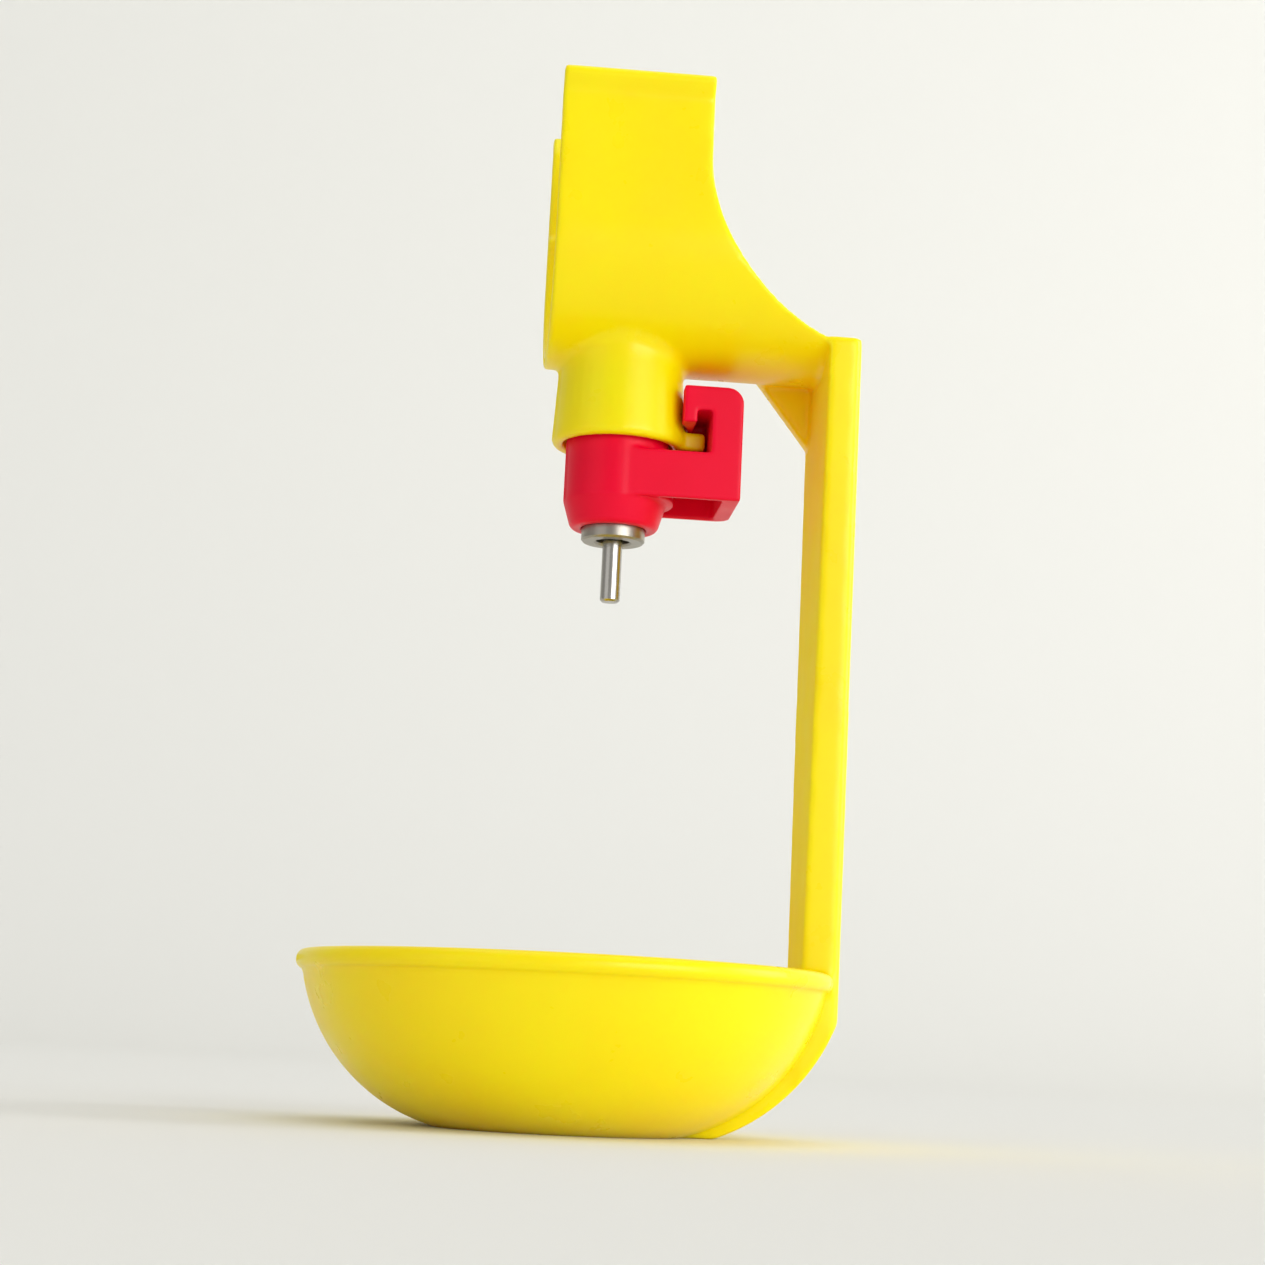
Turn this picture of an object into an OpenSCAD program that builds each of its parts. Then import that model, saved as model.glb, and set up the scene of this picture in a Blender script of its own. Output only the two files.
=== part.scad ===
// Poultry drinking cup that hangs from a round water pipe.
// One yellow moulding is the pipe saddle, the nipple socket, the stem and the drip cup.
// A red nipple body twists into the socket and locks on a side lug.
// It holds a steel seat, a trigger pin, a ball and its seat, and two rubber seals.
// X runs along the pipe towards the stem, Y runs away from the front, Z is up.
// The origin is on the pipe's axis, straight above the nipple.

/* [Pipe saddle] */
// Outside diameter of the water pipe
pipe_d = 25; // [22:0.5:28]
// Wall of the saddle
saddle_wall = 1.8; // [1.4:0.1:2.4]
// From the nipple's axis to the saddle's free end
saddle_left = 9.8; // [9.2:0.1:12]
// From the nipple's axis to the end beside the stem
saddle_right = 9.2; // [9:0.1:12]
// Height of the front wall above the pipe's axis
front_wall_h = 20.5; // [16:0.1:26]
// Height of the back wall above the pipe's axis
back_wall_h = 21.4; // [16:0.1:26]
// Inward lean of both walls, in degrees
wall_lean = 2.5; // [1:0.1:4]
// Length of the flared lead-in at the top of each wall
lip_len = 2.4; // [1.6:0.1:3.4]
// Outward turn of the lead-in, in degrees
lip_turn = 27; // [15:1:40]
// Radius of the snap ridge inside each wall
ridge_r = 1; // [0.7:0.05:1.3]
// Gap from the snap ridge to the pipe
ridge_gap = 0.12; // [0.05:0.01:0.3]

/* [Wing and stem] */
// Radius of the concave outline between saddle and stem
wing_cut_r = 22.1; // [20:0.1:24]
// Top of the wing and stem, above the bottom of the saddle
wing_rise = 3.6; // [2.8:0.1:4.4]
// From the nipple's axis to the middle of the stem
stem_x = 27.4; // [26.8:0.1:30]
// How far the stem's top stands above the wing's end
stem_over = 0.2; // [0.15:0.05:0.4]
// Thickness of the stem at the top
stem_t_top = 4.2; // [3.6:0.1:5]
// Thickness of the stem at the cup
stem_t_low = 5; // [4.2:0.1:6]
// Depth of the stem at the cup's rim, front to back
stem_d_low = 12; // [10:0.1:14]
// Chamfer along the stem's outer corners
stem_chamfer = 0.9; // [0.5:0.1:1.4]
// Length of the gusset along the pipe, inside the trough's wall
gusset_l = 9.5; // [6:0.5:11]
// Height of the gusset down the stem
gusset_h = 7.5; // [6:0.1:10]
// Thickness of the gusset
gusset_t = 2.4; // [1.6:0.1:3.2]
// From the gusset's back to the back edge of the wing
gusset_inset = 0.45; // [0.3:0.05:1]

/* [Nipple socket] */
// Length of the socket below the saddle
socket_h = 10.3; // [9.5:0.1:12]
// Wall of the socket at the saddle
socket_wall_top = 1; // [0.9:0.05:1.3]
// Wall of the socket at its rim
socket_wall_rim = 1.5; // [1.3:0.05:1.7]
// Radius of the fillet between socket and saddle
socket_fillet = 1.5; // [0.8:0.1:2]
// Radial gap between nipple body and socket
socket_gap = 0.4; // [0.3:0.05:0.6]
// Wall left between socket and pipe at the lowest point of the pipe
socket_floor = 3; // [2.4:0.1:3.4]
// Reach of the locking lug beyond the socket's rim
lug_reach = 2.6; // [2:0.1:3]
// Thickness of the locking lug
lug_t = 2.3; // [1.8:0.1:2.6]
// Width of the locking lug, front to back
lug_w = 4; // [3:0.1:5]

/* [Drip cup] */
// Drop from the bottom of the saddle to the cup's rim
cup_drop = 75.1; // [60:0.1:95]
// Depth of the cup
cup_h = 20.2; // [16:0.1:22]
// Outside radius of the cup's wall at the rim
cup_r = 32; // [28:0.1:36]
// Radius of the curved side
cup_arc_r = 22.4; // [22.3:0.1:26]
// Height of that curve's centre above the base
cup_arc_rise = 21.8; // [21:0.1:22]
// Wall of the cup
cup_wall = 1.8; // [1.4:0.1:2.4]
// Reach of the rolled lip beyond the wall
lip_proud = 0.6; // [0.4:0.05:1]
// Height of the rolled lip
lip_h = 2.35; // [1.8:0.05:3]
// Rounding of the lip's edges
lip_round = 0.7; // [0.4:0.05:0.9]
// How far the stem stands out past the lip
stem_proud = 0.45; // [0.2:0.05:1]
// Thickness of the rib under the stem, at the cup's rim
rib_t_top = 2.7; // [2:0.1:3.4]
// Thickness of that rib at the base
rib_t_low = 0.9; // [0.6:0.1:1.4]
// How much narrower than the stem the rib is, on each side
rib_inset = 0.3; // [0.2:0.05:0.6]

/* [Nipple body] */
// Outside radius of the nipple body
body_r = 6.5; // [6.3:0.05:6.7]
// Length of the body below the socket's rim
body_drop = 10.6; // [10:0.1:12]
// Height of the tapered nose
nose_h = 3.4; // [2.6:0.1:4]
// Radius of the nose at its bottom edge
nose_r = 5.6; // [5.3:0.05:5.9]
// Radius of the spigot that enters the pipe
spigot_r = 4; // [3.6:0.05:4.2]
// Length of the spigot above the saddle's inner face
spigot_l = 6.5; // [5:0.1:8]
// Radius of the water passage
passage_r = 2; // [1.5:0.05:2.2]
// Gap from the arm's top to the socket's rim
arm_gap = 1.2; // [0.6:0.1:1.6]
// Height of the arm
arm_h = 6; // [5:0.1:6.5]
// Thickness of the arm's hollow side walls
arm_wall = 0.9; // [0.7:0.05:1.2]
// Thickness of the hollow's end wall, at the hook
arm_end_wall = 2.1; // [1.5:0.1:2.6]
// Rounding of the arm's back corner, seen from above
arm_round = 1.8; // [1:0.1:2.2]
// Rounding of the hollow's corners
pocket_round = 0.8; // [0.5:0.1:1]
// Height of the pocket under the arm
pocket_h = 4.6; // [3:0.1:5]
// Thickness of the hook's upright
hook_post = 3.9; // [3:0.1:4.6]
// Thickness of the hook's top bar
hook_bar = 3.1; // [2.4:0.1:3.6]
// Drop of the hook's tip below the bar
hook_tip_h = 1.6; // [0.8:0.1:1.8]
// Width of the hook's tip
hook_tip_w = 1; // [0.9:0.05:1.5]
// How far the hook wraps round the socket, inside the socket's radius
hook_wrap = 0.7; // [0.3:0.05:1]
// Rounding of the hook's outer corner
hook_round = 2.1; // [1:0.1:2.8]
// Gap between the lug and the hook around it
hook_gap = 0.3; // [0.2:0.05:0.4]

/* [Valve] */
// Radius of the trigger pin
pin_r = 1.25; // [1:0.05:1.4]
// Length of the pin below the seat
pin_out = 7.6; // [5:0.1:10]
// Radius of the pin's round head
head_r = 2.7; // [2.6:0.05:2.8]
// Radius of the thin stem on top of the head
push_r = 0.7; // [0.5:0.05:0.9]
// Radius of the seat's hole
seat_hole_r = 2.15; // [2.05:0.05:2.25]
// Outside radius of the steel seat
seat_r = 4; // [3.9:0.05:4.1]
// Length of the seat that shows below the body
seat_out = 1.6; // [1:0.1:2.2]
// Length of the seat's narrow hole
seat_floor = 2.2; // [1.8:0.1:2.6]
// Depth of the seat's chamber for the head
seat_chamber = 3.6; // [3.4:0.1:4]
// Thickness of the ring that carries the ball
ring_t = 1.6; // [1.2:0.1:2]
// Radius of that ring's hole
ring_hole_r = 1.5; // [1.45:0.05:1.6]
// Radius of the ball
ball_r = 1.9; // [1.8:0.05:2]
// Rise of ball and pin when the valve opens
valve_lift = 1; // [0.5:0.1:1.2]
// Thickness of the rubber ring between seat and ball ring
oring_t = 1.4; // [1.2:0.1:1.6]
// Radial room around the pin's head
head_room = 0.3; // [0.25:0.05:0.4]
// Radial room around the ball
ball_room = 0.7; // [0.6:0.1:0.8]
// Room left above the ball when it is up
ball_head_room = 0.6; // [0.4:0.1:0.8]
// Radius of the hole in the pipe that the rubber seal plugs
pipe_hole_r = 5; // [4.9:0.05:5.2]
// Height of the seal's plug inside the pipe
plug_h = 3; // [2:0.1:3.4]
// Gap from the plug to the bottom of the pipe's outside
plug_gap = 1.4; // [1.3:0.05:1.6]
// Thickness of the seal's flange
seal_flange_t = 1.2; // [0.9:0.1:1.4]
// Step between the seal's plug and its neck, and length of its lead-in
seal_step = 0.25; // [0.2:0.05:0.4]
// Gap around the seal where it passes through the socket's floor
seal_gap = 0.3; // [0.2:0.05:0.4]
// Radial clearance of parts that are pressed together
press_gap = 0.03; // [0.02:0.01:0.06]
// Clearance of parts that rest on or slide by each other
rest_gap = 0.08; // [0.05:0.01:0.12]
// Gap between the pin's thin stem and the ball
push_gap = 0.15; // [0.1:0.01:0.2]

/* [Edges] */
// Chamfer on the edges of the plastic parts
plastic_edge = 0.4; // [0.3:0.05:0.5]
// Chamfer on the edges of the steel parts
steel_edge = 0.25; // [0.2:0.05:0.35]

/* [Hidden] */
$fn = 96;
eps = 0.01;
far = 60;

pipe_r = pipe_d / 2;
shell_r = pipe_r + saddle_wall;
mid_r = pipe_r + saddle_wall / 2;
wing_top = wing_rise - shell_r;
stem_in_top = stem_x - stem_t_top / 2;
stem_in_low = stem_x - stem_t_low / 2;
stem_out_top = stem_x + stem_t_top / 2;
wing_end_x = stem_out_top - stem_over;
stem_out_low = stem_x + stem_t_low / 2;
stem_d_top = 2 * sqrt(pow(shell_r, 2) - pow(wing_top, 2)) - 0.1;
gusset_back = sqrt(pow(mid_r, 2) - pow(wing_top, 2)) - gusset_inset;
wing_centre_z = wing_top + sqrt(pow(wing_cut_r, 2) - pow(saddle_right + wing_cut_r - stem_in_top, 2));

rim_z = -shell_r - socket_h;
socket_bore_r = body_r + socket_gap;
socket_r_top = socket_bore_r + socket_wall_top;
socket_r_rim = socket_bore_r + socket_wall_rim;
socket_top_z = -pipe_r - socket_floor;
seal_hole_r = pipe_hole_r + seal_gap;
lug_x = socket_r_rim + lug_reach;
lug_top_z = rim_z + lug_t;

cup_rim_z = -shell_r - cup_drop;
cup_base_z = cup_rim_z - cup_h;
cup_lip_r = cup_r + lip_proud;
cup_x = stem_out_low - stem_proud - cup_lip_r;
arc_z = cup_base_z + cup_arc_rise;
arc_c = cup_r - sqrt(pow(cup_arc_r, 2) - pow(arc_z - cup_rim_z, 2));
rib_shift = (rib_t_top - rib_t_low) / 2;
rib_arc_r = cup_arc_r + (rib_t_top + rib_t_low) / 2;
rib_end_x = cup_x + arc_c + sqrt(pow(cup_arc_r, 2) - pow(cup_arc_rise, 2)) - rib_t_low;
rib_top_z = cup_rim_z - lip_h / 2;
root_z = cup_base_z + cup_h / 4;

body_top_z = socket_top_z - seal_flange_t - seal_gap;
body_low_z = rim_z - body_drop;
spigot_top_z = spigot_l - pipe_r;
arm_top_z = rim_z - arm_gap;
arm_low_z = arm_top_z - arm_h;
arm_half = body_r - 0.1;
hook_in_x = lug_x + hook_gap;
hook_out_x = hook_in_x + hook_post;
hook_clear_r = socket_r_rim + hook_gap;
hook_end_x = socket_r_rim - hook_wrap;
pocket_end_x = hook_out_x - arm_end_wall;
pocket_half = arm_half - arm_wall;
slot_top_z = lug_top_z + hook_gap + hook_tip_h;
hook_top_z = slot_top_z + hook_bar;

seat_low_z = body_low_z - seat_out;
seat_edge_z = seat_low_z + seat_floor;
seat_top_z = seat_edge_z + seat_chamber;
seat_bore_r = seat_r + press_gap;
head_z = seat_edge_z + sqrt(pow(head_r, 2) - pow(seat_hole_r, 2)) + rest_gap;
ring_low_z = seat_top_z + oring_t;
ring_top_z = ring_low_z + ring_t;
ball_z = ring_top_z + sqrt(pow(ball_r, 2) - pow(ring_hole_r, 2)) + rest_gap;
pin_top_z = ball_z - ball_r - push_gap;
ball_room_r = ball_r + ball_room;
ball_room_top_z = ball_z + ball_r + valve_lift + ball_head_room;

yellow = [1, 0.87, 0.05];
red = [0.87, 0.02, 0.12];
steel = [0.66, 0.66, 0.67];
rubber = [0.12, 0.12, 0.13];

// Shapes that several parts use

// A flat outline in Y and Z, drawn out along X
module along_x(x_start, x_end) {
    translate([x_start, 0, 0])
        rotate([90, 0, 90])
            linear_extrude(x_end - x_start)
                children();
}

// A flat outline in X and Z, drawn out along Y on both sides of the middle
module along_y(depth) {
    rotate([90, 0, 0])
        linear_extrude(depth, center = true)
            children();
}

// A flat outline in radius and Z, turned about the nipple's axis
module turned() {
    rotate_extrude()
        children();
}

// The section of the cup's curved body, grown or shrunk by a thickness
module bowl_section(centre, centre_z, radius, floor_z, top_z) {
    intersection() {
        union() {
            translate([centre, centre_z])
                circle(r = radius, $fn = 180);
            translate([0, floor_z])
                square([centre, top_z - floor_z]);
        }
        translate([0, floor_z])
            square([centre + radius, top_z - floor_z]);
    }
}

// Parts of the yellow moulding

// Half of a saddle wall's section, for the side at plus Y
module wall_section(height) {
    flare_z = height - saddle_wall / 2 - lip_len * cos(lip_turn);
    lean = flare_z * tan(wall_lean);
    start = [pipe_r + saddle_wall / 2 - lean, flare_z];
    end = start + lip_len * [sin(lip_turn), cos(lip_turn)];
    half = saddle_wall / 2 * [cos(lip_turn), -sin(lip_turn)];
    polygon([
        [pipe_r, 0],
        [shell_r, 0],
        [shell_r - lean, flare_z],
        end + half,
        end - half,
        [pipe_r - lean, flare_z]
    ]);
    translate(end)
        circle(d = saddle_wall);
    reach = pipe_r + ridge_gap + ridge_r;
    first_z = sqrt(pow(reach, 2) - pow(pipe_r, 2));
    ridge_y = pipe_r - first_z * tan(wall_lean);
    translate([ridge_y, sqrt(pow(reach, 2) - pow(ridge_y, 2))])
        circle(r = ridge_r);
}

// The trough under the pipe and its two upright walls
module saddle_section() {
    difference() {
        circle(r = shell_r);
        circle(r = pipe_r);
        translate([-far, 0])
            square([2 * far, far]);
    }
    wall_section(back_wall_h);
    mirror([1, 0])
        wall_section(front_wall_h);
}

// What the saddle and its wing fill when they are seen from the front
module saddle_outline() {
    translate([-saddle_left, -far])
        square([saddle_left + saddle_right, 2 * far]);
    difference() {
        translate([0, -far])
            square([wing_end_x, far + wing_centre_z]);
        translate([saddle_right + wing_cut_r, wing_centre_z])
            circle(r = wing_cut_r, $fn = 180);
    }
}

module saddle() {
    intersection() {
        along_x(-saddle_left, wing_end_x)
            saddle_section();
        along_y(2 * far)
            saddle_outline();
    }
}

module socket_outside() {
    turned()
        polygon([
            [0, rim_z],
            [socket_r_rim - plastic_edge, rim_z],
            [socket_r_rim, rim_z + plastic_edge],
            [socket_r_top, -shell_r],
            [socket_r_top, wing_top],
            [0, wing_top]
        ]);
    translate([0, -lug_w / 2, rim_z])
        cube([lug_x, lug_w, lug_t]);
}

// The fillet between the socket and the curved underside of the saddle
fillet_steps = 48;
fillet_arc = 4;
function underside_z(radius, turn) = -sqrt(pow(shell_r, 2) - pow(radius * cos(turn), 2));
function fillet_point(turn, t) =
    let (
        low = [socket_r_top - 0.05, underside_z(socket_r_top, turn) - socket_fillet],
        mid = [socket_r_top - 0.05, underside_z(socket_r_top, turn) + 0.05],
        top = [socket_r_top + socket_fillet, underside_z(socket_r_top + socket_fillet, turn) + 0.05]
    )
    pow(1 - t, 2) * low + 2 * t * (1 - t) * mid + t * t * top;
function fillet_section(turn) = concat(
    [for (k = [0:fillet_arc]) fillet_point(turn, k / fillet_arc)],
    [fillet_point(turn, 1) + [0, saddle_wall / 3]],
    [[socket_r_top - 1, fillet_point(turn, 1)[1] + saddle_wall / 3]],
    [[socket_r_top - 1, fillet_point(turn, 0)[1]]]
);
module socket_blend() {
    n = fillet_arc + 4;
    points = [
        for (i = [0:fillet_steps - 1])
            let (turn = 360 * i / fillet_steps)
                for (q = fillet_section(turn)) [q[0] * sin(turn), q[0] * cos(turn), q[1]]
    ];
    faces = [
        for (i = [0:fillet_steps - 1], k = [0:n - 1])
            let (a = i * n, b = ((i + 1) % fillet_steps) * n, m = (k + 1) % n)
                [a + k, b + k, b + m, a + m]
    ];
    polyhedron(points, faces, convexity = 6);
}

module socket_inside() {
    translate([0, 0, rim_z - 1])
        cylinder(r = socket_bore_r, h = socket_top_z - rim_z + 1);
    translate([0, 0, socket_top_z - 1])
        cylinder(r = seal_hole_r, h = far / 4);
}

// Depth of the stem and its rib at a height
function stem_depth(z) = stem_d_low + (stem_d_top - stem_d_low) * (z - cup_rim_z) / (wing_top - cup_rim_z);

// What the chamfer takes off one outer corner, along the whole stem
module stem_corner(side) {
    tilt = atan((stem_d_top - stem_d_low) / 2 / (wing_top - cup_rim_z));
    lean = atan((stem_out_low - stem_out_top) / (wing_top - root_z));
    translate([stem_out_top, side * stem_d_top / 2, wing_top])
        rotate([-side * tilt, -lean, 0])
            rotate([0, 0, side * 45])
                translate([-stem_chamfer / sqrt(2), -far, -2 * far])
                    cube([far, 2 * far, 3 * far]);
}

module stem() {
    top_z = wing_top + stem_over;
    top_y = stem_depth(top_z) / 2;
    root_y = stem_depth(root_z) / 2;
    difference() {
        intersection() {
            along_y(far)
                polygon([[stem_in_top, top_z], [stem_out_top, top_z], [stem_out_low, root_z], [stem_in_low, root_z]]);
            along_x(0, far)
                polygon([[-top_y, top_z + 1], [top_y, top_z + 1], [root_y, root_z - 1], [-root_y, root_z - 1]]);
            union() {
                translate([0, -far, rib_top_z])
                    cube([far, 2 * far, wing_top - rib_top_z + 1]);
                rib_turned();
            }
        }
        for (side = [-1, 1])
            stem_corner(side);
    }
}

module gusset() {
    low_z = -shell_r - gusset_h;
    top_z = wing_top + 1;
    translate([0, gusset_back - gusset_t / 2, 0])
        along_y(gusset_t)
            polygon([[stem_x, low_z], [stem_in_top, low_z], [stem_in_top - gusset_l, top_z], [stem_x, top_z]]);
}

module rib_turned() {
    translate([cup_x, 0, 0])
        rotate_extrude($fn = 180)
            bowl_section(arc_c + rib_shift, arc_z + rib_shift, rib_arc_r, cup_base_z, cup_rim_z - eps);
}

// The stem's lower end, which hugs the cup down to its base
module rib() {
    top_y = stem_depth(rib_top_z) / 2 - rib_inset;
    low_y = stem_depth(cup_base_z) / 2 - rib_inset;
    intersection() {
        along_x(rib_end_x, stem_x)
            polygon([[-low_y, cup_base_z], [low_y, cup_base_z], [top_y, rib_top_z], [-top_y, rib_top_z]]);
        rib_turned();
    }
}

module cup_inside() {
    translate([cup_x, 0, 0])
        rotate_extrude($fn = 180)
            bowl_section(arc_c, arc_z, cup_arc_r - cup_wall, cup_base_z + cup_wall, cup_rim_z + 1);
}

module cup() {
    difference() {
        union() {
            translate([cup_x, 0, 0])
                rotate_extrude($fn = 180) {
                    bowl_section(arc_c, arc_z, cup_arc_r, cup_base_z, cup_rim_z - lip_round);
                    lip_section();
                }
            rib();
        }
        cup_inside();
    }
}

// The rolled lip, a band with round outer edges
module lip_section() {
    lip_in_r = cup_r - cup_wall;
    translate([lip_in_r - 1, cup_rim_z - lip_h])
        square([cup_lip_r - lip_round - lip_in_r + 1, lip_h]);
    translate([lip_in_r, cup_rim_z - lip_h + lip_round])
        square([cup_lip_r - lip_in_r, lip_h - 2 * lip_round]);
    for (z = [cup_rim_z - lip_round, cup_rim_z - lip_h + lip_round])
        translate([cup_lip_r - lip_round, z])
            circle(r = lip_round);
}

module hanger() {
    color(yellow)
        difference() {
            union() {
                saddle();
                difference() {
                    union() {
                        socket_outside();
                        gusset();
                        stem();
                    }
                    rotate([0, 90, 0])
                        cylinder(r = mid_r, h = 2 * far, center = true);
                }
                socket_blend();
                cup();
            }
            socket_inside();
        }
}

// The red nipple body

// The arm and its hook, seen from the front
module arm_outline() {
    tip_out_x = socket_r_rim + hook_tip_w;
    translate([0, arm_low_z])
        square([hook_out_x, arm_h]);
    translate([hook_in_x, arm_low_z])
        square([hook_post, hook_top_z - hook_round - arm_low_z]);
    translate([hook_end_x, slot_top_z])
        square([hook_out_x - hook_round - hook_end_x, hook_bar]);
    translate([hook_in_x, slot_top_z])
        square([hook_post, hook_bar - hook_round]);
    translate([hook_out_x - hook_round, hook_top_z - hook_round])
        circle(r = hook_round);
    translate([hook_end_x, slot_top_z - hook_tip_h])
        square([tip_out_x - hook_end_x, hook_tip_h + eps]);
}

// The end stop that the lug turns against, behind the slot
module hook_stop() {
    translate([hook_end_x, lug_w / 2 + hook_gap, arm_top_z - eps])
        cube([hook_post, arm_half - lug_w / 2 - hook_gap, slot_top_z - arm_top_z + 2 * eps]);
}

// A rectangle with round corners at its far end along X
module round_end(x_end, y_low, y_high, low_r, high_r) {
    translate([0, y_low])
        square([x_end - max(low_r, high_r), y_high - y_low]);
    translate([0, y_low + low_r])
        square([x_end, y_high - y_low - low_r - high_r]);
    translate([x_end - low_r, y_low + low_r])
        circle(r = low_r);
    translate([x_end - high_r, y_high - high_r])
        circle(r = high_r);
}

module arm() {
    difference() {
        union() {
            intersection() {
                along_y(2 * far)
                    arm_outline();
                translate([0, 0, arm_low_z - 1])
                    linear_extrude(far / 2)
                        round_end(hook_out_x + 2 * eps, -arm_half, arm_half, plastic_edge, arm_round);
            }
            hook_stop();
        }
        translate([0, 0, arm_top_z])
            cylinder(r = hook_clear_r, h = far / 2);
        difference() {
            translate([0, 0, arm_low_z - 1])
                linear_extrude(pocket_h + 1)
                    round_end(pocket_end_x, -pocket_half, pocket_half, pocket_round, pocket_round);
            translate([0, 0, arm_low_z - 1])
                cylinder(r = body_r + arm_wall, h = far / 2);
        }
    }
}

module nipple_body() {
    color(red)
        difference() {
            union() {
                turned()
                    polygon([
                        [0, body_low_z],
                        [nose_r - plastic_edge, body_low_z],
                        [nose_r, body_low_z + plastic_edge],
                        [body_r, body_low_z + nose_h],
                        [body_r, body_top_z - plastic_edge],
                        [body_r - plastic_edge, body_top_z],
                        [spigot_r, body_top_z],
                        [spigot_r, spigot_top_z - plastic_edge],
                        [spigot_r - plastic_edge, spigot_top_z],
                        [0, spigot_top_z]
                    ]);
                arm();
            }
            translate([0, 0, body_low_z - 1])
                cylinder(r = seat_bore_r, h = ring_top_z - body_low_z + 1);
            translate([0, 0, ring_top_z - 1])
                cylinder(r = ball_room_r, h = ball_room_top_z - ring_top_z + 1);
            translate([0, 0, ball_room_top_z - 1])
                cylinder(r = passage_r, h = far);
        }
}

// Seals and valve parts

module pipe_seal() {
    seal_in_r = spigot_r + press_gap;
    flange_r = body_r - plastic_edge;
    neck_r = pipe_hole_r - seal_step;
    plug_z = -pipe_r + plug_gap;
    color(rubber)
        turned()
            polygon([
                [seal_in_r, body_top_z],
                [flange_r, body_top_z],
                [flange_r, body_top_z + seal_flange_t],
                [neck_r, body_top_z + seal_flange_t],
                [neck_r, plug_z],
                [pipe_hole_r, plug_z],
                [pipe_hole_r, plug_z + plug_h],
                [neck_r, plug_z + plug_h + seal_step],
                [seal_in_r, plug_z + plug_h + seal_step]
            ]);
}

module valve_seat() {
    chamber_r = head_r + head_room;
    color(steel)
        turned()
            polygon([
                [seat_hole_r + steel_edge, seat_low_z],
                [seat_r - steel_edge, seat_low_z],
                [seat_r, seat_low_z + steel_edge],
                [seat_r, seat_top_z],
                [chamber_r, seat_top_z],
                [chamber_r, seat_edge_z],
                [seat_hole_r, seat_edge_z],
                [seat_hole_r, seat_low_z + steel_edge]
            ]);
}

module seat_ring_seal() {
    section_r = oring_t / 2 - press_gap;
    color(rubber)
        turned()
            translate([seat_r - section_r, seat_top_z + oring_t / 2])
                circle(r = section_r);
}

module ball_ring() {
    color(steel)
        turned()
            translate([ring_hole_r, ring_low_z])
                square([seat_r - ring_hole_r, ring_t - press_gap]);
}

module valve_ball() {
    color(steel)
        translate([0, 0, ball_z])
            sphere(r = ball_r);
}

module trigger_pin() {
    tip_z = seat_low_z - pin_out;
    color(steel) {
        turned()
            polygon([
                [0, tip_z],
                [pin_r - steel_edge, tip_z],
                [pin_r, tip_z + steel_edge],
                [pin_r, head_z],
                [0, head_z]
            ]);
        intersection() {
            translate([0, 0, head_z])
                sphere(r = head_r);
            translate([0, 0, head_z - head_r])
                cylinder(r = head_r + 1, h = head_r + head_r / 3);
        }
        translate([0, 0, head_z])
            cylinder(r = push_r, h = pin_top_z - head_z);
    }
}

hanger();
nipple_body();
pipe_seal();
valve_seat();
seat_ring_seal();
ball_ring();
valve_ball();
trigger_pin();
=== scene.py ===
# %% [markdown]
# # A poultry drinking cup, dressed for the camera
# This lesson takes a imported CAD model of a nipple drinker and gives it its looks.
# The yellow hanger, the drip cup, the red nipple body and its steel parts are one cell each.
# Every length is in metres, in the frame of the CAD model: X runs along the water pipe,
# Y runs away from the front, and Z is up.

import math

import bmesh
import bpy
from mathutils import Matrix, Vector


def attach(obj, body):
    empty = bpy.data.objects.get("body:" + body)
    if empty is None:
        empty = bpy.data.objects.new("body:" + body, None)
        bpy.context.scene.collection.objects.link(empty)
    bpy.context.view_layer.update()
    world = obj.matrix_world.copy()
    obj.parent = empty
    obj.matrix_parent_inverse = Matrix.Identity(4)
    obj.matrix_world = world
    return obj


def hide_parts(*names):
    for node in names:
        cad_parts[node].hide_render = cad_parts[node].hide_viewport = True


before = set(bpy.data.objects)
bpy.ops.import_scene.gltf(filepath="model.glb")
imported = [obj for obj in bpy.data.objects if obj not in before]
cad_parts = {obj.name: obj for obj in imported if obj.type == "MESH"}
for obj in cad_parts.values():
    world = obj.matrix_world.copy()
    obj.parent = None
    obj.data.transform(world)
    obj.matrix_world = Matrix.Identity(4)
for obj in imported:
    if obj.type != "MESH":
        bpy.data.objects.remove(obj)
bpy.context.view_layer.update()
mm = 0.001

# %% [markdown]
# ## Camera
# The photograph was taken from in front of the stem, a little below the nipple, with the
# camera turned slightly to the right, tilted up and rolled. Its place and its focal length
# were worked out once from sizes that can be recognised, such as the rim of the cup.

# %% Camera
FOCAL_PX = 2430.6
PHOTO_PX = 1265
SENSOR_MM = 36

camera_data = bpy.data.cameras.new("camera")
camera_data.sensor_width = SENSOR_MM
camera_data.lens = SENSOR_MM * FOCAL_PX / PHOTO_PX
camera_data.clip_start = 0.01
camera_data.clip_end = 20
camera = bpy.data.objects.new("camera", camera_data)
bpy.context.collection.objects.link(camera)
CAMERA_PLACE = Vector((-20.153, -298.889, -100.327)) * mm
YAW, PITCH, ROLL = 0.07751, 0.17264, 0.04862
level = Matrix.Rotation(-YAW, 3, "Z") @ Matrix.Rotation(math.pi / 2 + PITCH, 3, "X")
camera.matrix_world = Matrix.Translation(CAMERA_PLACE) @ (level @ Matrix.Rotation(ROLL, 3, "Z")).to_4x4()
bpy.context.scene.camera = camera
print("Lens in mm:", round(camera_data.lens, 2))

# %% [markdown]
# ## Colours and nodes
# Colours are written as the sRGB hex values that a paint program shows. Cycles works in
# linear light, so one function turns them. A second function adds a shader node, sets its
# sockets and joins its links, which keeps every material below short.


# %% Helpers for materials
def linear(hex_colour):
    """The linear RGBA of an sRGB hex colour."""
    parts = [int(hex_colour[i : i + 2], 16) / 255 for i in (1, 3, 5)]
    return (*[p / 12.92 if p <= 0.04045 else ((p + 0.055) / 1.055) ** 2.4 for p in parts], 1)


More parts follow.
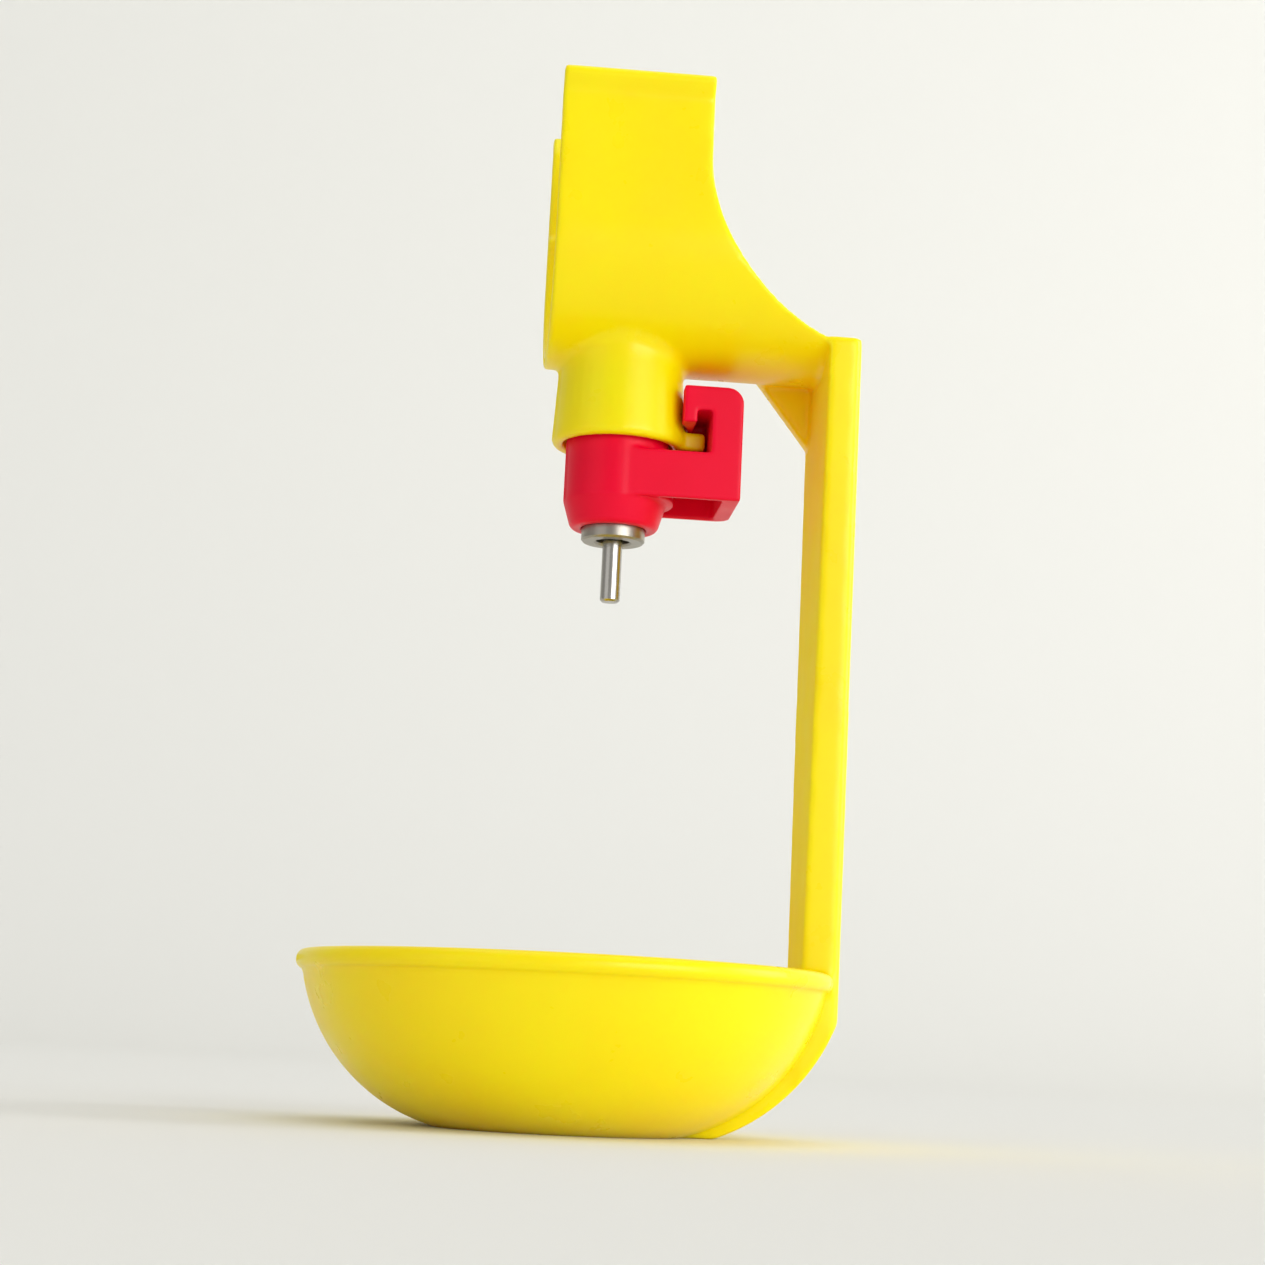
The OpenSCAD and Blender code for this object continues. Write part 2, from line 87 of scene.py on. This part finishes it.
def add(material, kind, settings=None, **sockets):
    """Adds a node. A socket takes a number, a colour or the output of another node."""
    node = material.node_tree.nodes.new(kind)
    for name, value in (settings or {}).items():
        setattr(node, name, value)
    for name, value in sockets.items():
        socket = node.inputs[name.replace("_", " ")]
        if isinstance(value, bpy.types.NodeSocket):
            material.node_tree.links.new(value, socket)
        else:
            socket.default_value = value
    return node


def new_material(name):
    """An empty material with its Object coordinates."""
    material = bpy.data.materials.new(name)
    material.use_nodes = True
    material.node_tree.nodes.clear()
    place = add(material, "ShaderNodeTexCoord").outputs["Object"]
    return material, place


def finish_material(material, shader):
    output = add(material, "ShaderNodeOutputMaterial")
    material.node_tree.links.new(shader.outputs[0], output.inputs["Surface"])
    return material


# %% [markdown]
# ## Yellow plastic
# The hanger and the cup are injection-moulded polypropylene in one pigment. It is a little
# see-through at its edges, so light goes in and comes out warmer, and shaded places turn
# orange instead of grey. Its skin is smooth but not polished: the mould leaves a fine
# orange peel, about 1.5 mm from crest to crest, and handling leaves faint dull patches.
# The faces that look back along the pipe were left matt by the mould, so a mask on the
# normal's X makes those faces rougher.


# %% Moulded plastic
def moulded_plastic(name, colour, deep_colour, roughness, specular, subsurface, radius_mm):
    """Clouds of two colours, a gloss that varies a little, and a fine orange peel."""
    material, place = new_material(name)
    cloud = add(material, "ShaderNodeTexNoise", Vector=place, Scale=1 / (18 * mm), Detail=3.0)
    tint = add(material, "ShaderNodeMapRange", Value=cloud.outputs["Fac"], From_Min=0.35, From_Max=0.65)
    blend = add(material, "ShaderNodeMix", {"data_type": "RGBA"})
    material.node_tree.links.new(tint.outputs[0], blend.inputs[0])
    blend.inputs[6].default_value = linear(colour)
    blend.inputs[7].default_value = linear(deep_colour)
    dull = add(material, "ShaderNodeTexNoise", Vector=place, Scale=1 / (5 * mm), Detail=4.0)
    gloss = add(
        material,
        "ShaderNodeMapRange",
        Value=dull.outputs["Fac"],
        From_Min=0.3,
        From_Max=0.7,
        To_Min=roughness - 0.04,
        To_Max=roughness + 0.06,
    )
    normal = add(material, "ShaderNodeTexCoord").outputs["Normal"]
    facing = add(material, "ShaderNodeSeparateXYZ", Vector=normal)
    eroded = add(
        material,
        "ShaderNodeMapRange",
        Value=facing.outputs["X"],
        From_Min=-0.95,
        From_Max=-0.99,
        To_Min=0.0,
        To_Max=0.4,
    )
    matt = add(material, "ShaderNodeMath", {"operation": "ADD"})
    material.node_tree.links.new(gloss.outputs[0], matt.inputs[0])
    material.node_tree.links.new(eroded.outputs[0], matt.inputs[1])
    peel = add(material, "ShaderNodeTexNoise", Vector=place, Scale=1 / (1.5 * mm), Detail=2.0)
    bump = add(material, "ShaderNodeBump", Height=peel.outputs["Fac"], Strength=0.12, Distance=0.02 * mm)
    shader = add(
        material,
        "ShaderNodeBsdfPrincipled",
        Base_Color=blend.outputs[2],
        Roughness=matt.outputs[0],
        Normal=bump.outputs[0],
        IOR=1.49,
        Specular_IOR_Level=specular,
        Subsurface_Weight=subsurface,
        Subsurface_Radius=radius_mm,
        Subsurface_Scale=mm,
    )
    return finish_material(material, shader)


yellow_plastic = moulded_plastic(
    "moulded_yellow_polypropylene", "#FFE800", "#FFE100", 0.30, 0.27, 0.4, (3.0, 1.8, 0.2)
)

# %% [markdown]
# ## Red plastic
# The nipple body is moulded too, in acetal, which is stiffer and takes a softer shine.
# Its red is strong and slightly pink where the light hits it.

# %% Red plastic
red_plastic = moulded_plastic(
    "moulded_red_acetal", "#F00233", "#E8022E", 0.34, 0.18, 0.15, (1.6, 0.2, 0.3)
)

# %% [markdown]
# ## Stainless steel
# Seat, pin and ball are turned from stainless steel bar. The tool leaves fine rings round
# the axis, which stretch the highlights a little along the pin. The real ones are about
# 0.1 mm apart, too fine for the render, so they are drawn about 0.4 mm apart. The seat
# gets a darker, rougher copy of the steel; its darker colour is painted shade for the dark surroundings it
# reflects.


# %% Turned steel
def turned_steel(name, colour, roughness):
    material, place = new_material(name)
    rings = add(
        material,
        "ShaderNodeTexWave",
        {"wave_type": "BANDS", "bands_direction": "Z"},
        Vector=place,
        Scale=0.5 / (0.6 * mm),
        Distortion=1.2,
        Detail=2.0,
    )
    bump = add(material, "ShaderNodeBump", Height=rings.outputs["Fac"], Strength=0.1, Distance=0.01 * mm)
    stain = add(material, "ShaderNodeTexNoise", Vector=place, Scale=1 / (2 * mm), Detail=3.0)
    gloss = add(
        material,
        "ShaderNodeMapRange",
        Value=stain.outputs["Fac"],
        To_Min=roughness - 0.05,
        To_Max=roughness + 0.08,
    )
    shader = add(
        material,
        "ShaderNodeBsdfPrincipled",
        Base_Color=linear(colour),
        Metallic=1.0,
        Roughness=gloss.outputs[0],
        Normal=bump.outputs[0],
    )
    return finish_material(material, shader)


steel = turned_steel("turned_stainless_steel", "#B4B1AB", 0.24)
# The seat's darker colour is painted shade: it stands in for the dark surroundings its front reflects.
seat_steel = turned_steel("stainless_steel_painted_darker", "#A5A096", 0.34)

# %% [markdown]
# ## Seal rubber
# Both seals are black nitrile rubber, pressed in a mould and dusted with talc, so they are
# dark, dull and very slightly grey.

# %% Nitrile rubber
seal_rubber, seal_place = new_material("moulded_nitrile_rubber")
talc = add(seal_rubber, "ShaderNodeTexNoise", Vector=seal_place, Scale=1 / (0.8 * mm), Detail=4.0)
dust = add(seal_rubber, "ShaderNodeValToRGB", Fac=talc.outputs["Fac"])
dust.color_ramp.elements[0].color = linear("#141416")
dust.color_ramp.elements[1].color = linear("#2C2C2F")
rubber_shader = add(
    seal_rubber, "ShaderNodeBsdfPrincipled", Base_Color=dust.outputs[0], Roughness=0.72, IOR=1.52
)
finish_material(seal_rubber, rubber_shader)

# %% [markdown]
# ## Moulded edges on the hanger
# A mould has no sharp corners: where walls meet, the plastic shows a small radius inside
# and out. Bevelling such a shape edge by edge is slow where a tube meets a curved wall.
# A voxel remesh does it at once: it wraps the CAD shape in an even skin of small squares,
# and a few smoothing passes then melt the corners to about half a millimetre. So fine a skin
# has far more squares than flat places need, so those are thinned at the end.


# %% Remesh helpers
def new_piece(name, shape, body, material):
    """Makes a bmesh an object at the origin that rides on a CAD body."""
    mesh = bpy.data.meshes.new(name)
    shape.to_mesh(mesh)
    shape.free()
    mesh.materials.append(material)
    for face in mesh.polygons:
        face.use_smooth = True
    piece = bpy.data.objects.new(name, mesh)
    bpy.context.collection.objects.link(piece)
    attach(piece, body)
    return piece


def cad_copy(node):
    """A merged copy of a CAD node's triangles."""
    shape = bmesh.new()
    shape.from_mesh(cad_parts[node].data)
    bmesh.ops.remove_doubles(shape, verts=shape.verts, dist=0.0005 * mm)
    return shape


def apply_modifiers(piece):
    """Replaces a piece's mesh by what its modifiers make of it."""
    graph = bpy.context.evaluated_depsgraph_get()
    result = bpy.data.meshes.new_from_object(piece.evaluated_get(graph))
    piece.modifiers.clear()
    piece.data = result
    for face in result.polygons:
        face.use_smooth = True
    print(piece.name, "has", len(result.polygons), "faces")


MOST_TRIANGLES = 190000


def melt_corners(piece, voxel_mm, passes):
    """Wraps a piece in a fine even skin, smooths it, then thins the flat places."""
    remesh = piece.modifiers.new("skin", "REMESH")
    remesh.mode = "VOXEL"
    remesh.voxel_size = voxel_mm * mm
    smooth = piece.modifiers.new("melt", "SMOOTH")
    smooth.factor = 0.5
    smooth.iterations = passes
    apply_modifiers(piece)
    triangles = sum(len(face.vertices) - 2 for face in piece.data.polygons)
    if triangles > MOST_TRIANGLES:
        thin = piece.modifiers.new("thin", "DECIMATE")
        thin.ratio = MOST_TRIANGLES / triangles
        apply_modifiers(piece)


# %% [markdown]
# ## Drip cup
# The cup is a shallow bowl, 64 mm wide and 20 mm deep, with a flat bottom and a rolled lip.
# It is round, so its wall is drawn once as a section and spun about the cup's axis.
# The side is a true arc, and the lip is a rolled bead that stands a little proud of it.
# The skin is a hair larger than the CAD cup, so the root of the stem stays under it.

# %% Sizes of the cup
CUP_X = -3.15 * mm
RIM_Z = -89.4 * mm
BASE_Z = -109.6 * mm
CUP_R = 32 * mm
WALL = 1.8 * mm
ARC_R = 22.4 * mm
ARC_Z = BASE_Z + 21.8 * mm
ARC_C = CUP_R - math.sqrt(ARC_R**2 - (ARC_Z - RIM_Z) ** 2)
LIP_R = 32.6 * mm
LIP_H = 2.35 * mm
LIP_ROUND = 1.05 * mm
INNER_ROUND = 0.6 * mm
SKIN_R = ARC_R + 0.05 * mm
SPIN_STEPS = 160
ARC_STEPS = 28
print("Centre of the side's arc in mm:", round(ARC_C / mm, 2), round(ARC_Z / mm, 2))


def arc_to(shape, start, centre, end_angle, steps):
    """Adds an arc of edges from a vertex, in the XZ plane. It returns the last vertex."""
    made = bmesh.ops.spin(
        shape, geom=[start], cent=centre, axis=(0, 1, 0), angle=end_angle, steps=steps, use_duplicate=False
    )
    return made["geom_last"][0]


def line_to(shape, start, x, z):
    """Adds one straight edge from a vertex, in the XZ plane. It returns the new vertex."""
    end = shape.verts.new((x, 0, z))
    shape.edges.new((start, end))
    return end


def angle_at(radius, height):
    """The angle below level at which the side's arc reaches a height."""
    return math.asin((ARC_Z - height) / radius)


def spin_round(shape):
    """Spins a section about the cup's axis into a closed shell that faces outwards."""
    bmesh.ops.spin(
        shape,
        geom=shape.verts[:] + shape.edges[:],
        cent=(CUP_X, 0, 0),
        axis=(0, 0, 1),
        angle=math.tau,
        steps=SPIN_STEPS,
        use_merge=True,
    )
    bmesh.ops.remove_doubles(shape, verts=shape.verts, dist=0.001 * mm)
    bmesh.ops.recalc_face_normals(shape, faces=shape.faces)


# %% Outside of the cup and its lip
arc_centre = (CUP_X + ARC_C, 0, ARC_Z)
cup_shape = bmesh.new()
point = cup_shape.verts.new((CUP_X, 0, BASE_Z))
point = line_to(cup_shape, point, CUP_X + ARC_C + math.sqrt(SKIN_R**2 - (ARC_Z - BASE_Z) ** 2), BASE_Z)
sweep = angle_at(SKIN_R, BASE_Z) - angle_at(SKIN_R, RIM_Z - LIP_H - 0.5 * mm)
point = arc_to(cup_shape, point, arc_centre, -sweep, ARC_STEPS)
crease_r = CUP_R - 0.1 * mm
lip_x = LIP_R - LIP_ROUND
lip_z = RIM_Z - LIP_H + LIP_ROUND
lip_start = math.acos((crease_r - lip_x) / LIP_ROUND)
point = line_to(cup_shape, point, CUP_X + crease_r, lip_z - LIP_ROUND * math.sin(lip_start))
point = arc_to(cup_shape, point, (CUP_X + lip_x, 0, lip_z), -lip_start, 8)
point = line_to(cup_shape, point, CUP_X + LIP_R, RIM_Z - LIP_ROUND)
point = arc_to(cup_shape, point, (CUP_X + lip_x, 0, RIM_Z - LIP_ROUND), -math.pi / 2, 8)
print("The lip's bead starts at", round(math.degrees(lip_start), 1), "degrees below level")

# %% Inside of the cup, then the spin
inner_r = ARC_R - WALL
floor_z = BASE_Z + WALL
edge_x = CUP_X + CUP_R - WALL + INNER_ROUND
point = line_to(cup_shape, point, edge_x, RIM_Z)
point = arc_to(cup_shape, point, (edge_x, 0, RIM_Z - INNER_ROUND), -math.pi / 2, 5)
top_angle = angle_at(inner_r, RIM_Z - 2 * INNER_ROUND)
top_x = CUP_X + ARC_C + inner_r * math.cos(top_angle)
point = line_to(cup_shape, point, top_x, ARC_Z - inner_r * math.sin(top_angle))
point = arc_to(cup_shape, point, arc_centre, angle_at(inner_r, floor_z) - top_angle, ARC_STEPS)
line_to(cup_shape, point, CUP_X, floor_z)
spin_round(cup_shape)
cup = new_piece("drip_cup", cup_shape, "hanger", yellow_plastic)
print("Cup faces:", len(cup.data.polygons))

# %% [markdown]
# ## Hanger
# Saddle, socket, wing, gusset, stem and rib are one moulding with the cup. The CAD copy
# still has the cup on it, so two spun plugs cut it away. The first is a hair larger than the
# cup, and it spares a slot for the stem. The second only reaches to the middle of the cup's
# wall, so in that slot the stem keeps a root inside the wall, and the two read as one.

# %% Helpers for cutting
def cutter(name, shape):
    """Makes a bmesh an object that only cuts."""
    mesh = bpy.data.meshes.new(name)
    shape.to_mesh(mesh)
    shape.free()
    made = bpy.data.objects.new(name, mesh)
    bpy.context.collection.objects.link(made)
    return made


def cut_away(piece, plug):
    """Subtracts a plug from a piece, and removes the plug."""
    cut = piece.modifiers.new("cut", "BOOLEAN")
    cut.operation = "DIFFERENCE"
    cut.solver = "EXACT"
    cut.object = plug
    apply_modifiers(piece)
    bpy.data.objects.remove(plug)


def plug_side(shape, arc_r, low_angle, high_z):
    """Draws the lower part of a plug's section. It returns the last vertex."""
    low = math.radians(low_angle)
    low_x = CUP_X + ARC_C + arc_r * math.cos(low)
    start = shape.verts.new((CUP_X, 0, BASE_Z - PLUG_BELOW))
    start = line_to(shape, start, low_x - 0.3 * mm, BASE_Z - PLUG_BELOW)
    start = line_to(shape, start, low_x, ARC_Z - arc_r * math.sin(low))
    return arc_to(shape, start, arc_centre, angle_at(arc_r, high_z) - low, ARC_STEPS)


# %% Outer plug, with a slot for the stem
PLUG_BELOW = 2 * mm
STEM_HALF = 6.3 * mm
SLOT_CENTRE = Vector((CUP_X + 24 * mm, 0, RIM_Z - 10 * mm))
SLOT_SIZE = (32 * mm, 2 * STEM_HALF, 30 * mm, 1)

outer_shape = bmesh.new()
outer_edge = CUP_X + LIP_R + 0.2 * mm
under_lip = RIM_Z - LIP_H - 0.1 * mm
point = plug_side(outer_shape, ARC_R + 0.06 * mm, 78, under_lip)
point = line_to(outer_shape, point, outer_edge, under_lip)
point = line_to(outer_shape, point, outer_edge, RIM_Z + 0.05 * mm)
line_to(outer_shape, point, CUP_X, RIM_Z + 0.05 * mm)
spin_round(outer_shape)
outer_plug = cutter("outer_plug", outer_shape)

slot_shape = bmesh.new()
bmesh.ops.create_cube(slot_shape, size=1, matrix=Matrix.Translation(SLOT_CENTRE) @ Matrix.Diagonal(SLOT_SIZE))
cut_away(outer_plug, cutter("stem_slot", slot_shape))

# %% Inner plug, to the middle of the wall
inner_shape = bmesh.new()
inner_edge = CUP_X + LIP_R - 0.9 * mm
point = plug_side(inner_shape, ARC_R - WALL * 0.4, 80, RIM_Z - LIP_H)
point = line_to(inner_shape, point, inner_edge, RIM_Z - 0.1 * mm)
point = line_to(inner_shape, point, inner_edge, RIM_Z + 0.002 * mm)
line_to(inner_shape, point, CUP_X, RIM_Z + 0.002 * mm)
spin_round(inner_shape)
inner_plug = cutter("inner_plug", inner_shape)
print("Inner plug has", len(inner_plug.data.polygons), "faces")

# %% Cut the cup off the copy, then melt the corners
hanger = new_piece("hanger_moulding", cad_copy("hanger"), "hanger", yellow_plastic)
cut_away(hanger, outer_plug)
cut_away(hanger, inner_plug)
melt_corners(hanger, 0.27, 18)
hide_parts("hanger")
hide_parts("hanger")

# %% [markdown]
# ## Nipple body
# The red body is a small moulding with a hollow arm and a hook. It gets the same melted
# corners, at a finer grain, because it is smaller. The CAD shape has a shallow groove down
# the front corner of the hook that the real one lacks, so a bar fills it before the remesh
# makes one skin of both.

# %% Nipple body
HOOK_LOW = Vector((12.0, -6.4, -31.8)) * mm
HOOK_HIGH = Vector((15.2, -5.9, -17.3)) * mm
HOOK_ROUND = 2.1 * mm


def at_hook_corner(vert):
    """Whether a vertex lies on the line where the hook's end and top meet."""
    return abs(vert.co.x - HOOK_HIGH.x) < 0.01 * mm and abs(vert.co.z - HOOK_HIGH.z) < 0.01 * mm


nipple_shape = cad_copy("nipple_body")
bar_place = Matrix.Translation((HOOK_LOW + HOOK_HIGH) / 2)
bar_size = Matrix.Diagonal((*(HOOK_HIGH - HOOK_LOW), 1))
bar = bmesh.ops.create_cube(nipple_shape, size=1, matrix=bar_place @ bar_size)
corner = [
    edge
    for edge in nipple_shape.edges
    if edge.verts[0] in bar["verts"] and all(at_hook_corner(vert) for vert in edge.verts)
]
bmesh.ops.bevel(
    nipple_shape,
    geom=corner,
    offset=HOOK_ROUND,
    offset_type="OFFSET",
    segments=8,
    profile=0.5,
    affect="EDGES",
    material=-1,
)
print("Bar edges rounded:", len(corner))
nipple = new_piece("nipple_moulding", nipple_shape, "nipple", red_plastic)
melt_corners(nipple, 0.18, 7)
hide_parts("nipple_body")

# %% [markdown]
# ## Steel and rubber parts
# The seat, the pin, the ball and its ring are turned parts whose CAD shapes are exact, so
# they stay and only take their finish. The seals stay too.

# %% Finish the CAD nodes that stay
for node, material in (
    ("valve_seat", seat_steel),
    ("trigger_pin", steel),
    ("valve_ball", steel),
    ("ball_ring", steel),
    ("pipe_seal", seal_rubber),
    ("seat_ring_seal", seal_rubber),
):
    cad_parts[node].data.materials.clear()
    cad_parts[node].data.materials.append(material)

# %% [markdown]
# ## Floor and backdrop
# A studio sweep is one sheet of pale card that runs under the object and curves up behind
# it, so no line shows where floor becomes wall.

# %% Sweep
SWEEP_HALF = 8
SWEEP_FRONT = -6
SWEEP_BACK = 1.2
SWEEP_ROUND = 0.8
SWEEP_TOP = 6

floor_shape = bmesh.new()
front = floor_shape.verts.new((-SWEEP_HALF, SWEEP_FRONT, BASE_Z))
back = floor_shape.verts.new((-SWEEP_HALF, SWEEP_BACK, BASE_Z))
floor_shape.edges.new((front, back))
made = bmesh.ops.spin(
    floor_shape,
    geom=[back],
    cent=(-SWEEP_HALF, SWEEP_BACK, BASE_Z + SWEEP_ROUND),
    axis=(1, 0, 0),
    angle=math.pi / 2,
    steps=24,
)
top = made["geom_last"][0]
end = floor_shape.verts.new((-SWEEP_HALF, SWEEP_BACK + SWEEP_ROUND, SWEEP_TOP))
floor_shape.edges.new((top, end))
made = bmesh.ops.extrude_edge_only(floor_shape, edges=floor_shape.edges[:])
moved = [v for v in made["geom"] if isinstance(v, bmesh.types.BMVert)]
bmesh.ops.translate(floor_shape, verts=moved, vec=(2 * SWEEP_HALF, 0, 0))
bmesh.ops.recalc_face_normals(floor_shape, faces=floor_shape.faces)
floor_mesh = bpy.data.meshes.new("floor")
floor_shape.to_mesh(floor_mesh)
floor_shape.free()
for face in floor_mesh.polygons:
    face.use_smooth = True
floor = bpy.data.objects.new("floor", floor_mesh)
bpy.context.collection.objects.link(floor)

# %% Pale card
card = new_material("pale_card")[0]
card_shader = add(card, "ShaderNodeBsdfPrincipled", Base_Color=linear("#E8E8E4"), Roughness=0.9)
finish_material(card, card_shader)
floor_mesh.materials.append(card)
print("Sweep faces:", len(floor_mesh.polygons))

# %% [markdown]
# ## Light
# The photograph is lit by one large soft light from the right, a window perhaps, with a
# bright room around it. A wide area lamp stands for the window, a weaker one fills the left,
# and a pale world gives the rest.


# %% Lamps and world
LAMP_TARGET = Vector((0, 0, -0.045))


def lamp(name, azimuth, elevation, distance, size, power, colour):
    """An area lamp that looks at the middle of the object."""
    data = bpy.data.lights.new(name, "AREA")
    data.shape = "RECTANGLE"
    data.size, data.size_y = size
    data.energy = power
    data.color = linear(colour)[:3]
    a, e = math.radians(azimuth), math.radians(elevation)
    away = Vector((math.sin(a) * math.cos(e), -math.cos(a) * math.cos(e), math.sin(e)))
    light = bpy.data.objects.new(name, data)
    light.location = LAMP_TARGET + away * distance
    light.rotation_mode = "QUATERNION"
    light.rotation_quaternion = away.to_track_quat("Z", "Y")
    bpy.context.collection.objects.link(light)
    return light


lamp("window", 90, 14, 4.0, (1.8, 2.6), 78, "#FFFDF8")
lamp("room_light", 34, 5, 4.0, (3.0, 2.0), 106, "#FFFFFF")
lamp("ceiling", 0, 85, 3.0, (3.0, 3.0), 30, "#FFFFFF")
lamp("white_wall", -50, 10, 3.0, (2.2, 1.6), 6, "#FFFFFF")
world = bpy.data.worlds.new("room")
world.use_nodes = True
world.node_tree.nodes["Background"].inputs["Color"].default_value = linear("#FFFEFB")
world.node_tree.nodes["Background"].inputs["Strength"].default_value = 0.42
bpy.context.scene.world = world
bpy.context.scene.view_settings.view_transform = "Standard"
